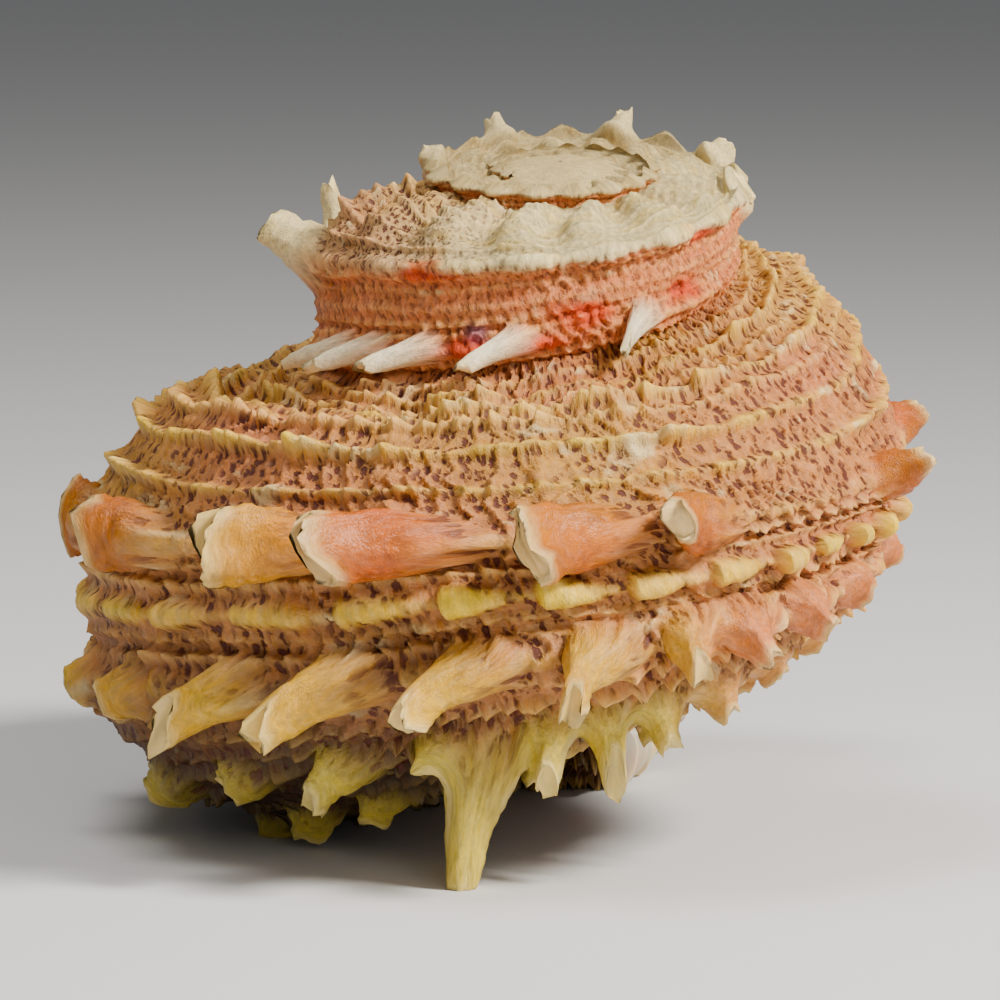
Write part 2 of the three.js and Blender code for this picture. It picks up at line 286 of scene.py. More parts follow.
# Each spine as [turn, length, lean in degrees], from the lip back to the hidden side of the whorl.
SPINES = {
    "shoulder": [
        [-0.235, 3.5, 45], [-0.3, 4, 50], [-0.365, 4.4, 58], [-0.43, 3.8, 60], [-0.5, 2.4, 56],
        [-0.571, 5, 56], [-0.651, 7, 48], [-0.7, 9, 53], [-0.765, 8, 53], [-0.807, 5.5, 46],
        [-0.925, 4, 8], [-1.015, 2.6, 5], [-1.095, 1.6, 20], [-1.175, 2, 25],
    ],
    "lower": [
        [-0.25, 4, 45], [-0.31, 4, 50], [-0.37, 4, 55], [-0.43, 3.6, 58], [-0.49, 2.2, 55],
        [-0.545, 3, 55], [-0.604, 6.5, 50], [-0.651, 7.4, 47], [-0.7, 7, 46], [-0.745, 6.5, 30],
        [-0.783, 3.6, 15], [-0.808, 3.6, 5], [-0.842, 2.6, 0], [-0.884, 1.5, 0], [-0.95, 1.4, 0],
    ],
    "base": [
        [-0.205, 5, 5], [-0.26, 3.4, 30], [-0.32, 3, 40], [-0.38, 3, 45], [-0.44, 3, 50], [-0.5, 3, 50],
        [-0.564, 2.2, 50], [-0.622, 4, 45], [-0.669, 4, 38], [-0.718, 4.6, 20], [-0.744, 5, 12],
        [-0.768, 3.4, 5], [-0.799, 2.2, 0], [-0.839, 1.3, 0], [-0.889, 1.1, 0],
    ],
    "cord": [
        [-0.19, 2.6, 0], [-0.255, 2.2, 10], [-0.325, 2.4, 15], [-0.38, 2.6, 15], [-0.44, 2.6, 15],
        [-0.49, 2.6, 10], [-0.543, 2.2, 30], [-0.6, 2.6, 35], [-0.7, 2, 15], [-0.78, 1.8, 10],
        [-0.87, 1.8, 10],
    ],
}

# The kinds of spine, as the colours need them.
KINDS = {"shoulder": 1, "lower": 2, "base": 3, "cord": 3, "long": 4, "fin": 5, "suture": 6}

LONG_SPINE = dict(
    turn=-0.684, q=7.3, out=-80, lean=19, length=10.5, width=5.4, thick=4.4, tip=0.34, thin=0.3,
    bend=4, foot=0.2, hollow=0.1, kind=KINDS["long"],
)

# The white fins and lobes on the shoulder of the older whorls.
FIN = dict(q=SHOULDER, thin=0.6, bend=6, foot=1.0, hollow=0.6, kind=KINDS["fin"])
SPIRE_SPINES = [
    dict(turn=-1.489, length=4.2, out=28, lean=5, width=3.2, thick=2.4, tip=0.8),
    dict(turn=-1.42, length=4.6, out=75, lean=0, width=1.8, thick=1.6, tip=0.7),
    dict(turn=-1.289, length=3, out=20, lean=15, width=3.2, thick=2.2, tip=0.6),
    dict(turn=-1.979, length=0.7, out=30, lean=10, width=3.4, thick=2.2, tip=0.6),
    dict(turn=-2.064, length=1.8, out=45, lean=0, width=3.2, thick=1.8, tip=0.5),
    dict(turn=-2.184, length=2.4, out=60, lean=0, width=4.2, thick=2.2, tip=0.25),
    dict(turn=-2.319, length=1.8, out=60, lean=0, width=2.8, thick=2, tip=0.5),
    dict(turn=-2.459, length=1.2, out=30, lean=0, width=2.4, thick=1.6, tip=0.5),
]

# The thin white spines above the suture.
SUTURE_SPINE_TURNS = [-1.25, -1.4, -1.554, -1.585, -1.631, -1.698, -1.797]
SUTURE_SPINE = dict(
    q=4.74, out=-14, lean=48, length=4.9, width=1.7, thick=1.3, tip=0.65, thin=0.7,
    bend=10, foot=0.3, hollow=0.6, kind=KINDS["suture"],
)

FOOT_END = 0.5  # the share of a spine's footprint that is its flared foot
CAP_START = 0.8  # where its tip starts to close
PATH_STEPS = 40  # steps that its curved middle line is worked out in
SHARP_TURN = -0.72  # before this turn the lower spines are fins with narrow tips on broad feet
SHARP_TIP, SHARP_FOOT = 0.6, 0.8
LIFT_TURN = -0.785  # before this turn the shoulder spines point up and end in closed knobs
LIFT = 25  # degrees
KNOB_TIP, KNOB_THIN, KNOB_CLOSED = 0.5, 0.6, 0.7

RELIEF = 1.5  # strengthens the cords and their scales
CORD_WANDER = 0.032  # keel radii that a cord strays to and fro
CORD_UNEVEN, SIDE_CORD_UNEVEN = 0.9, 2.2  # how much the lengths of their scales vary
STEPS_PER_TURN = 88  # growth steps
EDGE_HEIGHT = 0.016  # of the old lips that stand at the shoulder spines, in keel radii


def scale_shape(turn, k):
    """For cord k, how high each point stands on its scale, how big that scale is, and its number."""
    at, _, _, period, _, _ = CORDS[k]
    uneven = SIDE_CORD_UNEVEN if at == SIDE_CORD else CORD_UNEVEN
    stray = value_noise(turn / period * 0.31, np.full_like(turn, k * 7.7), 11)
    warped = turn / period + uneven * stray + k * 0.37
    cell = np.floor(warped)
    part = warped - cell
    big = 0.35 + 0.9 * hashed(cell, np.full_like(cell, k), 5)
    if at != SIDE_CORD:
        return part**1.5 * (1 - smooth((part - 0.86) / 0.14)), big, cell
    tube = smooth(part / (0.3 + 0.4 * big)) * (1 - smooth((part - 0.88) / 0.08)) * (0.5 + 0.5 * big)
    return tube * (1 - 0.9 * smooth((-1.24 - turn) / 0.04)), big, cell


def cord_relief(turn, length, smoother):
    """The height of the cords and scales, and how far each point is on a cord and on a yellow one."""
    height, cord, yellow = np.zeros((3,) + turn.shape)
    wander = CORD_WANDER * (value_noise(turn * 17, length * 5, 3) - 0.5)
    for k, (at, width, tall, _, scale, tint) in enumerate(CORDS):
        saw, big, cell = scale_shape(turn, k)
        wide = width * (0.4 + 0.7 * saw if at == SIDE_CORD else 0.85 + 0.55 * saw * big)
        reach = length + wander - section_length(at)
        near = np.abs(reach) < width * 3.5
        ridge = np.exp(-((reach / wide) ** 2) - 0.5 * (reach / wide) ** 4) * near
        strength = 0.15 + 1.7 * value_noise(turn * 19 + k * 5.3, np.full_like(turn, k), 13)
        if at == SIDE_CORD:
            strength = np.ones_like(turn)
        height += RELIEF * smoother * strength * ridge * (tall + scale * big * saw)
        cord = np.maximum(cord, ridge * clamp01(0.2 + 0.5 * strength) * (0.45 + 0.55 * saw))
        shown = (0.4 + 0.6 * hashed(cell, np.full_like(cell, k), 9)) * (0.3 + 0.7 * saw)
        yellow = np.maximum(yellow, ridge * tint * shown)
    return height, cord, yellow


def growth_steps(turn, q, length, smoother):
    """The height of the fine growth steps, and how far up its step each point is."""
    steps = turn * STEPS_PER_TURN + 3.0 * value_noise(turn * 21, length * 6, 21)
    steps += value_noise(turn * 60, length * 24, 22)
    lamella = (steps - np.floor(steps)) ** 2
    on_side_cord = np.exp(-(((length - section_length(SIDE_CORD)) / 0.04) ** 4))
    rough = (0.002 + 0.016 * value_noise(turn * 26, length * 12, 26)) * (1 + smooth((q - 1.1) / 0.3))
    return rough * smoother * (lamella - 0.3) * (1 - 0.8 * on_side_cord), lamella


def old_lip(turn, q, length, spine_turn):
    """The raised edge that the lip left when it stood at one of the shoulder spines."""
    back = (turn - spine_turn - 0.012 - 0.004 * value_noise(length * 40, turn * 0, 23)) / 0.035
    stand = np.where(back < 0, clamp01(1 + back) ** 2, clamp01(1 - back * 6))
    uneven = 0.3 + 1.1 * value_noise(length * 30, turn * 0 + spine_turn * 50, 24)
    return stand * uneven * smooth((q - 0.25) / 0.5) * smooth((7.2 - q) / 1.5)


def relief(turn, q, length):
    """Height of the cords, scales, growth steps and old lips in keel radii, and masks for the colours."""
    smoother = 1 - 0.6 * smooth((-1.6 - turn) / 0.2) * smooth((1.2 - q) / 0.2)
    height, cord, yellow = cord_relief(turn, length, smoother)
    steps, lamella = growth_steps(turn, q, length, smoother)
    height = height + steps
    for spine_turn, _, _ in SPINES["shoulder"]:
        edge = old_lip(turn, q, length, spine_turn)
        height = height + EDGE_HEIGHT * edge
        lamella = np.maximum(lamella, edge)
    return height, cord, yellow, lamella


def row_spine(name, turn, length, lean):
    """One spine of a row, fitted to its place: smaller, sharper or lifted towards the right side."""
    row = ROWS[name]
    size = min(1.0, radius(turn) / radius(FRONT_TURN)) ** 0.5
    sharp = 0.0 if name == "shoulder" else smooth((SHARP_TURN - turn) / 0.05)
    lifted = smooth((LIFT_TURN - turn) / 0.03) * (name == "shoulder")
    spine = dict(row, turn=turn, lean=lean, kind=KINDS[name])
    spine["length"] = length * (1 + 0.15 * sharp * smooth((-0.76 - turn) / 0.03))
    spine["width"] = row["width"] * size * (0.9 + 0.2 * hashed(turn * 1000, 1, 2))
    spine["thick"] = row["thick"] * size
    spine["tip"] = mix(mix(row["tip"], SHARP_TIP, sharp), KNOB_TIP, lifted)
    spine["thin"] = mix(row["thin"], KNOB_THIN, lifted)
    spine["foot"] = mix(row["foot"], SHARP_FOOT, sharp)
    spine["bend"] = row["bend"] + 8 * (hashed(turn * 1000, 3, 4) - 0.5)
    spine["out"] = row["out"] + LIFT * lifted
    spine["hollow"] = row["hollow"] * (1 - KNOB_CLOSED * lifted)
    return spine


def all_spines():
    for name in ROWS:
        for turn, length, lean in SPINES[name]:
            yield row_spine(name, turn, length, lean)
    yield LONG_SPINE
    for fin in SPIRE_SPINES:
        yield dict(FIN, **fin)
    for turn in SUTURE_SPINE_TURNS:
        yield dict(SUTURE_SPINE, turn=turn)


def spine_axes(spine):
    """The foot of a spine, and unit vectors forward along the growth, outward, and down the section."""
    turn, q = np.float64(spine["turn"]), np.float64(spine["q"])
    foot = surface(turn, q)
    forward = unit(surface(turn + 0.004, q) - foot)
    rho, zeta = section(turn, q)
    angle = math.radians(spine["out"])
    outward = place(turn, rho + 0.02 * math.cos(angle), zeta + 0.02 * math.sin(angle)) - foot
    outward = unit(outward - forward * np.dot(outward, forward))
    across = np.cross(forward, outward)
    down = surface(turn, q + 0.1) - foot
    return foot, forward, outward, across * np.sign(np.dot(across, down))


def spine_path(spine):
    """Steps up a spine of length 1, its lean at each, and how far out and forward its middle line is."""
    fine = np.linspace(0, 1, PATH_STEPS + 1)
    lean = np.radians(spine["lean"] + spine["bend"] * (1 - 2 * fine))
    halfway = lean[:-1] + np.diff(lean) / 2
    out = np.concatenate([[0], np.cumsum(np.cos(halfway) / PATH_STEPS)])
    forward = np.concatenate([[0], np.cumsum(np.sin(halfway) / PATH_STEPS)])
    return fine, lean, out, forward


def spine_skin(spine, c, s, t, rise, reach, half):
    """How far the skin of a spine lies from its middle line, and the height that the skin reaches there."""
    cap = clamp01((t - CAP_START) / (1 - CAP_START))
    closing = np.sqrt(1 - cap**2)
    flare = clamp01(1 - t / FOOT_END) ** 2
    round_it = np.arctan2(s, c)
    ragged = value_noise(round_it * 1.9 + 9, np.full_like(round_it, spine["turn"] * 91), 51) - 0.5
    skew = 0.35 * (hashed(spine["turn"] * 1000, 5, 6) - 0.4)
    tall = spine["length"] * (1 + (0.3 * ragged - 0.16 * s * s + skew * s) * smooth(rise))
    ribs = value_noise(round_it * 1.6 + 30, rise * 5 + spine["turn"] * 77, 52) - 0.5
    ribs = 1 + 0.24 * ribs * smooth(rise * 2)
    grown = rise * spine["length"] + 0.6 * value_noise(round_it * 1.2 + 60, rise * 3, 53)
    ribs = ribs * (0.97 + 0.1 * (grown - np.floor(grown)) * smooth(rise * 4))
    wide = (spine["width"] / 2) * mix(1, spine["tip"], rise)
    deep = (spine["thick"] / 2) * mix(1, spine["thin"], rise)
    x = c * (deep * closing * ribs + (reach - spine["thick"] / 2) * flare)
    y = s * (wide * closing * ribs + (half - spine["width"] / 2) * flare)
    gutter = spine["hollow"] * smooth((rise - 0.15) / 0.4)
    return np.where(c > 0, x * (1 - gutter), x), y, tall, rise - 0.1 * cap


def raise_spine(points, turn, length, spine, masks):
    """Draws the grid out into one curved spine with a gutter in its front."""
    foot, forward, outward, across = spine_axes(spine)
    size = radius(spine["turn"])
    rho = np.linalg.norm(foot[:2]) / size
    along = (turn - spine["turn"]) * 2 * math.pi * size * rho
    sideways = (length - section_length(spine["q"])) * size
    back = spine["thick"] * 0.7 + spine["length"] * 0.45 * spine["foot"]
    front = spine["thick"] * 0.75
    half = spine["width"] * 0.5 + 0.9 * spine["foot"]
    reach = np.where(along < 0, back, front)
    edge = np.sqrt((along / reach) ** 2 + (sideways / half) ** 2)
    on = np.nonzero(edge < 1)
    if len(on[0]) == 0:
        return
    e, reach = np.maximum(edge[on], 1e-6), reach[on]
    c, s, t = along[on] / reach / e, sideways[on] / half / e, 1 - e
    rise = np.clip(t / CAP_START, 0, 1) ** 1.25
    x, y, tall, reached = spine_skin(spine, c, s, t, rise, reach, half)
    fine, lean, path_out, path_forward = spine_path(spine)
    angle = np.interp(rise, fine, lean)
    side = forward * np.cos(angle)[:, None] - outward * np.sin(angle)[:, None]
    middle = outward * (np.interp(reached, fine, path_out) * tall)[:, None]
    middle = middle + forward * (np.interp(reached, fine, path_forward) * tall)[:, None]
    horn = foot + middle + side * x[:, None] + across * y[:, None]
    points[on] = mix(points[on], horn, smooth(t / 0.32)[:, None])
    masks["spine"][on] = np.maximum(masks["spine"][on], rise)
    masks["foot"][on] = np.maximum(masks["foot"][on], smooth(t / 0.4))
    masks["kind"][on] = spine["kind"]


def srgb(red, green, blue):
    c = np.array([red, green, blue]) / 255
    return np.where(c <= 0.04045, c / 12.92, ((c + 0.055) / 1.055) ** 2.4)


TAN = srgb(202, 140, 62)
TAN_PINK = srgb(206, 122, 72)
WALL_PINK = srgb(214, 138, 80)
WALL_BROWN = srgb(174, 110, 58)
# The base's brown, made darker still as painted shade of the underside.
SHADED_BASE_BROWN = srgb(74, 44, 22)
RIGHT_PINK = srgb(212, 122, 76)
YELLOW = srgb(228, 186, 48)
CREAM = srgb(236, 194, 112)
PIT = srgb(78, 18, 6)
ORANGE = srgb(164, 58, 8)
PEACH = srgb(184, 106, 34)
MUSTARD = srgb(214, 166, 40)
OLIVE = srgb(206, 178, 70)
PALE_TIP = srgb(240, 214, 146)
WHITE = srgb(230, 206, 150)
CHALK = srgb(242, 228, 190)
SALMON = srgb(236, 124, 74)
GREY_BEIGE = srgb(186, 156, 100)
RED_ORANGE = srgb(230, 56, 10)
VIOLET = srgb(150, 92, 130)

# The red patches above the suture: turn, place along the section, and half sizes in turns and in places.
RED_PATCHES = [
    (-1.75, 3.9, 0.024, 1.1),
    (-1.66, 4.9, 0.02, 0.5),
    (-1.715, 5.0, 0.018, 0.4),
    (-1.84, 4.2, 0.02, 0.8),
    (-1.645, 1.4, 0.03, 0.4),
    (-1.87, 1.6, 0.025, 0.5),
]
VIOLET_PATCH = (-1.67, 4.2, 0.012, 0.6)
HOLLOWS_PAINTED_SHADE, RIDGES_PAINTED_LIGHT = 0.52, 1.14  # painted shade and painted highlight: how dark the hollows are painted, and how bright the ridges are
# Painted shadow: the share by which the lower left side of the last whorl is darkened, as if in shade.
LOWER_LEFT_PAINTED_SHADOW = 0.75


def layer(colour, over, amount):
    return mix(colour, over, clamp01(amount)[..., None])


def patch(turn, q, spot):
    """Over 1 in the middle of a patch of colour, and under 0 well outside it."""
    at_turn, at_q, half_turn, half_q = spot
    return 1.25 - np.sqrt(((turn - at_turn) / half_turn) ** 2 + ((q - at_q) / half_q) ** 2)


def last_whorl_colour(turn, q, masks, ramp, shade):
    wall = layer(WALL_PINK, WALL_BROWN, shade * 0.9)
    colour = layer(ramp, wall, smooth((q - 0.95) / 0.3))
    # The base turns brown, partly its own colour and partly painted shade of the underside.
    colour = layer(colour, layer(wall, SHADED_BASE_BROWN, 0.75), smooth((q - 5.6) / 2.0))
    colour = layer(colour, RIGHT_PINK, 0.65 * smooth((-0.78 - turn) / 0.14) * smooth((q - 0.6) / 0.5))
    # Cream over the cords: partly their paler colour, partly a painted highlight on the raised cords.
    colour = layer(colour, CREAM, 0.55 * masks["cord"])
    return layer(colour, YELLOW, 0.95 * masks["yellow"])


def spire_colour(turn, q, masks, ramp, shade):
    # Cream over the cords: partly their paler colour, partly a painted highlight on the raised cords.
    wall = layer(SALMON, CREAM, 0.5 * masks["cord"] + 0.2 * shade)
    top = layer(WHITE, YELLOW, 0.35 * smooth((shade - 0.45) / 0.4))
    top = layer(top, GREY_BEIGE, (0.3 + 0.6 * shade) * smooth((-2.02 - turn) / 0.1))
    top = layer(top, ramp, 0.75 * smooth((turn + 1.72) / 0.16))
    return layer(top, wall, smooth((q - 1.05) / 0.4))


def spine_colours(colour, turn, masks, shade, broad):
    """Lays each kind of spine's own colour over its foot, with a paler tip."""
    tip = 0.75 * smooth((masks["spine"] - 0.74) / 0.26)
    rightward = smooth((-0.76 - turn) / 0.05)
    glow = 0.3 * smooth((broad - 0.5) / 0.3) * (1 - masks["spine"])
    yellower = 0.55 * smooth((turn + 0.69) / 0.02) * smooth((-0.61 - turn) / 0.02)
    shoulder = layer(layer(ORANGE, PEACH, 0.2 + 0.8 * shade), MUSTARD, yellower)
    by_kind = {
        "shoulder": layer(shoulder, RED_ORANGE, glow),
        "lower": layer(MUSTARD, RIGHT_PINK, np.maximum(rightward, 0.35 * shade)),
        "base": layer(OLIVE, RIGHT_PINK, 0.7 * rightward),
        "long": OLIVE,
        "fin": WHITE,
        "suture": CHALK,
    }
    for name, own in by_kind.items():
        amount = masks["foot"] * (masks["kind"] == KINDS[name])
        colour = layer(colour, layer(own, PALE_TIP, 0.85 * tip), 0.95 * amount)
    return colour


def colours(turn, q, length, masks):
    shade = value_noise(turn * 55, length * 22, 61)
    broad = value_noise(turn * 13, length * 5, 62)
    speck = value_noise(turn * 60, length * 26, 63)
    ramp = layer(TAN, TAN_PINK, broad * 1.3 - 0.15)
    colour = last_whorl_colour(turn, q, masks, ramp, shade)
    colour = layer(colour, spire_colour(turn, q, masks, ramp, shade), smooth((-1.24 - turn) / 0.03))
    for spot in RED_PATCHES:
        colour = layer(colour, RED_ORANGE, 0.95 * smooth(patch(turn, q, spot) + 0.9 * (shade - 0.5)))
    colour = layer(colour, VIOLET, 0.7 * smooth(patch(turn, q, VIOLET_PATCH)))
    colour = layer(colour, WHITE, 0.7 * smooth((speck - 0.8) / 0.1) * masks["lamella"])
    # Painted shade in the hollows between cords and growth steps, and painted light on the raised ones.
    raised = clamp01(0.2 + 0.6 * masks["cord"] + 0.4 * masks["lamella"])
    # Painted shadow over the lower left side of the last whorl.
    lower_left_shadow = smooth((q - 2.5) / 5.0) * smooth((turn + 0.74) / 0.12) * smooth((-0.3 - turn) / 0.1)
    shading = mix(HOLLOWS_PAINTED_SHADE, RIDGES_PAINTED_LIGHT, raised) * (1 - LOWER_LEFT_PAINTED_SHADOW * lower_left_shadow)
    return clamp01(spine_colours(colour * shading[..., None], turn, masks, shade, broad))


STEP = 0.2  # millimetres between grid points of the last whorl, along the growth and along the section

# Heights in keel radii, and distances from one fold, lump or scallop to the next in turns.
FOLD_HEIGHT, FOLD_TURNS = 0.014, 0.071
LUMP_HEIGHT, LUMP_TURNS = 0.085, 0.066
SCALLOP_HEIGHT, SCALLOP_TURNS = 0.05, 0.058


def even_turns(first, last, step):
    fine = np.linspace(first, last, 4000)
    per_step = 2 * math.pi * radius(fine) / step
    count = np.concatenate([[0], np.cumsum((per_step[1:] + per_step[:-1]) / 2 * np.diff(fine))])
    return np.interp(np.linspace(0, count[-1], int(count[-1]) + 2), count, fine)


def even_places(first, last, size, step):
    span = section_length(last) - section_length(first)
    count = int(span * size / step) + 2
    return place_at_length(np.linspace(section_length(first), section_length(last), count))


def folds(turn, q, length):
    """The wavy folds of the ramp, and the lumps and scalloped rim of the older whorls, in keel radii."""
    on_ramp = smooth(q / 0.2) * smooth((0.9 - q) / 0.4)
    older = smooth((-1.45 - turn) / 0.08)
    wavy = FOLD_HEIGHT * np.sin(turn * 2 * math.pi / FOLD_TURNS + 9 * length) * on_ramp * (1 - older)
    swing = 0.5 + 0.5 * np.sin(turn * 2 * math.pi / LUMP_TURNS + 5 * value_noise(turn * 9, q * 1.5, 27))
    lumps = LUMP_HEIGHT * (smooth(swing) - 0.5) * smooth(q / 0.25) * smooth((1.0 - q) / 0.3) * older
    by_keel = np.exp(-(((length - section_length(SHOULDER)) / 0.06) ** 2))
    scallops = 0.5 + 0.5 * np.sin(turn * 2 * math.pi / SCALLOP_TURNS)
    scallops = scallops + 0.6 * value_noise(turn * 30, turn * 0, 25)
    on_spire = smooth((-1.24 - turn) / 0.05) * (1 + 0.6 * smooth((-1.95 - turn) / 0.1))
    return wavy + lumps + SCALLOP_HEIGHT * by_keel * scallops * on_spire


def grown_surface(turns, places):
    """The whole grid of one stretch of the spiral, with its relief, spines and colours."""
    turn, q = np.meshgrid(turns, places, indexing="ij")
    length = section_length(q)
    points = surface(turn, q)
    normals = grid_normals(points)
    height, cord, yellow, lamella = relief(turn, q, length)
    height = height + folds(turn, q, length)
    points = points + normals * (height * radius(turn))[..., None]
    masks = {name: np.zeros(turn.shape) for name in ("spine", "foot", "kind")}
    masks.update(cord=cord, yellow=yellow, lamella=lamella)
    for spine in all_spines():
        if turns[0] - 0.1 < spine["turn"] < turns[-1] + 0.1 and spine["q"] < places[-1] + 1:
            raise_spine(points, turn, length, spine, masks)
    points[..., 2] = np.maximum(points[..., 2], FLOOR)
    white_top = smooth((-1.6 - turn) / 0.15) * smooth((1.3 - q) / 0.3)
    spire_wall = 0.5 * smooth((-1.3 - turn) / 0.1) * smooth((q - 1.0) / 0.3)
    unpitted = (1 - masks["foot"]) * (1 - 0.85 * np.maximum(white_top, spire_wall))
    run = turn * 2 * math.pi * REFERENCE_RADIUS
    return dict(
        points=points,
        normals=grid_normals(points),
        colour=colours(turn, q, length, masks),
        grow=np.stack([run, length * REFERENCE_RADIUS, masks["spine"] * 6], -1),
        gloss=clamp01(masks["foot"] * (1 - 0.5 * masks["spine"])),
        pit=smooth((0.6 - cord) / 0.35) * smooth((0.8 - lamella) / 0.5) * unpitted,
    )


def add_attribute(mesh, name, kind, field, values):
    data = mesh.attributes.new(name, kind, "POINT").data
    data.foreach_set(field, values.astype(np.float32).ravel())


def grid_object(name, grid, rows, material, closed=False):
    """Makes one piece from some rows of the section, with the whole grid's normals."""
    cut = {key: value[:, rows] for key, value in grid.items()}
    nu, ns = cut["points"].shape[:2]
    index = np.arange(nu * ns).reshape(nu, ns)
    if closed:
        index = np.concatenate([index, index[:, :1]], axis=1)
    a, b, c, d = index[:-1, :-1], index[:-1, 1:], index[1:, 1:], index[1:, :-1]
    faces = np.stack([a, d, c, b], -1).reshape(-1, 4)
    mesh = bpy.data.meshes.new(name)
    mesh.vertices.add(nu * ns)
    mesh.vertices.foreach_set("co", ((cut["points"] + AXIS) * MM).astype(np.float32).ravel())
    mesh.loops.add(faces.size)
    mesh.loops.foreach_set("vertex_index", faces.astype(np.int32).ravel())
    mesh.polygons.add(len(faces))
    mesh.polygons.foreach_set("loop_start", np.arange(0, faces.size, 4, dtype=np.int32))
    mesh.update(calc_edges=True)
    mesh.polygons.foreach_set("use_smooth", np.ones(len(faces), bool))
    colour = np.concatenate([cut["colour"], np.ones((nu, ns, 1))], -1)
    add_attribute(mesh, "tint", "FLOAT_COLOR", "color", colour)
    add_attribute(mesh, "grow", "FLOAT_VECTOR", "vector", cut["grow"])
    for key in ("gloss", "pit"):
        add_attribute(mesh, key, "FLOAT", "value", cut[key])
    mesh.normals_split_custom_set_from_vertices(cut["normals"].reshape(-1, 3).tolist())
    piece = bpy.data.objects.new(name, mesh)
    bpy.context.scene.collection.objects.link(piece)
    piece.data.materials.append(material)
    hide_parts("shell")
    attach(piece, "root")
    return piece


PITS_PER_MM = 1.3


def new_material(name):
    material = bpy.data.materials.new(name)
    material.use_nodes = True
    nodes, links = material.node_tree.nodes, material.node_tree.links
    return material, nodes, links, nodes["Principled BSDF"]


def attribute(nodes, name):
    node = nodes.new("ShaderNodeAttribute")
    node.attribute_name = name
    return node


def noise(nodes, links, vector, scale, detail=4.0, roughness=0.6):
    node = nodes.new("ShaderNodeTexNoise")
    node.inputs["Scale"].default_value = scale
    node.inputs["Detail"].default_value = detail
    node.inputs["Roughness"].default_value = roughness
    links.new(vector, node.inputs["Vector"])
    return node


def map_range(nodes, links, value, low, high, to_low, to_high):
    node = nodes.new("ShaderNodeMapRange")
    node.inputs["From Min"].default_value = low
    node.inputs["From Max"].default_value = high
    node.inputs["To Min"].default_value = to_low
    node.inputs["To Max"].default_value = to_high
    links.new(value, node.inputs["Value"])
    return node.outputs["Result"]


def maths(nodes, links, operation, *values, vector=False):
    """A maths node. Each value is a number, a vector or another node's output."""
    node = nodes.new("ShaderNodeVectorMath" if vector else "ShaderNodeMath")
    node.operation = operation
    for socket, value in zip(node.inputs, values):
        if isinstance(value, bpy.types.NodeSocket):
            links.new(value, socket)
        else:
            socket.default_value = value
    return node.outputs[0]


def bumped(nodes, links, shader, height, distance, strength):
    bump = nodes.new("ShaderNodeBump")
    bump.inputs["Distance"].default_value = distance * MM
    bump.inputs["Strength"].default_value = strength
    links.new(height, bump.inputs["Height"])
    links.new(bump.outputs["Normal"], shader.inputs["Normal"])


def pit_mask(nodes, links, grow, mottle):
    """Small slanting pits of uneven size, only where the grid says that pits may be."""
    squeezed = maths(nodes, links, "MULTIPLY", grow, (1.25, 0.8, 1.0), vector=True)
    warp = noise(nodes, links, grow, 2.0, 1.0, 0.5).outputs["Color"]
    warped = maths(nodes, links, "MULTIPLY_ADD", warp, (0.7, 0.7, 0.7), squeezed, vector=True)
    dents = nodes.new("ShaderNodeTexVoronoi")
    dents.inputs["Scale"].default_value = PITS_PER_MM
    dents.inputs["Randomness"].default_value = 0.9
    links.new(warped, dents.inputs["Vector"])
    uneven = maths(nodes, links, "MULTIPLY_ADD", mottle, 0.5, dents.outputs["Distance"])
    dent = map_range(nodes, links, uneven, 0.56, 0.73, 1.0, 0.0)
    return maths(nodes, links, "MULTIPLY", dent, attribute(nodes, "pit").outputs["Fac"])


def shell_material():
    """Chalky shell: the grown colours, broken up by fine mottling, growth lines, pits and grit."""
    material, nodes, links, shader = new_material("shell_surface")
    tint, grow = attribute(nodes, "tint"), attribute(nodes, "grow").outputs["Vector"]
    stretched = maths(nodes, links, "MULTIPLY", grow, (2.2, 0.7, 1.0), vector=True)
    mottle = noise(nodes, links, grow, 1.6, 4.0, 0.7).outputs["Fac"]
    lines = noise(nodes, links, stretched, 1.3, 3.5, 0.65).outputs["Fac"]
    grit = noise(nodes, links, grow, 7.0, 2.0, 0.6).outputs["Fac"]
    varied = nodes.new("ShaderNodeHueSaturation")
    varied.inputs["Hue"].default_value = 0.505
    links.new(tint.outputs["Color"], varied.inputs["Color"])
    links.new(map_range(nodes, links, mottle, 0.3, 0.7, 0.72, 1.28), varied.inputs["Value"])
    links.new(map_range(nodes, links, lines, 0.3, 0.7, 1.1, 0.94), varied.inputs["Saturation"])
    pit = pit_mask(nodes, links, grow, mottle)
    dark = nodes.new("ShaderNodeMix")
    dark.data_type = "RGBA"
    dark.inputs["B"].default_value = (*PIT, 1.0)
    links.new(map_range(nodes, links, pit, 0.0, 1.0, 0.0, 0.93), dark.inputs["Factor"])
    links.new(varied.outputs["Color"], dark.inputs["A"])
    links.new(dark.outputs["Result"], shader.inputs["Base Color"])
    gloss = attribute(nodes, "gloss").outputs["Fac"]
    links.new(map_range(nodes, links, gloss, 0.0, 1.0, 0.58, 0.3), shader.inputs["Roughness"])
    shader.inputs["Specular IOR Level"].default_value = 0.4
    rough = maths(nodes, links, "MULTIPLY_ADD", lines, 0.6, grit)
    height = maths(nodes, links, "MULTIPLY_ADD", pit, -1.2, rough)
    bumped(nodes, links, shader, height, 0.12, 0.8)
    return material


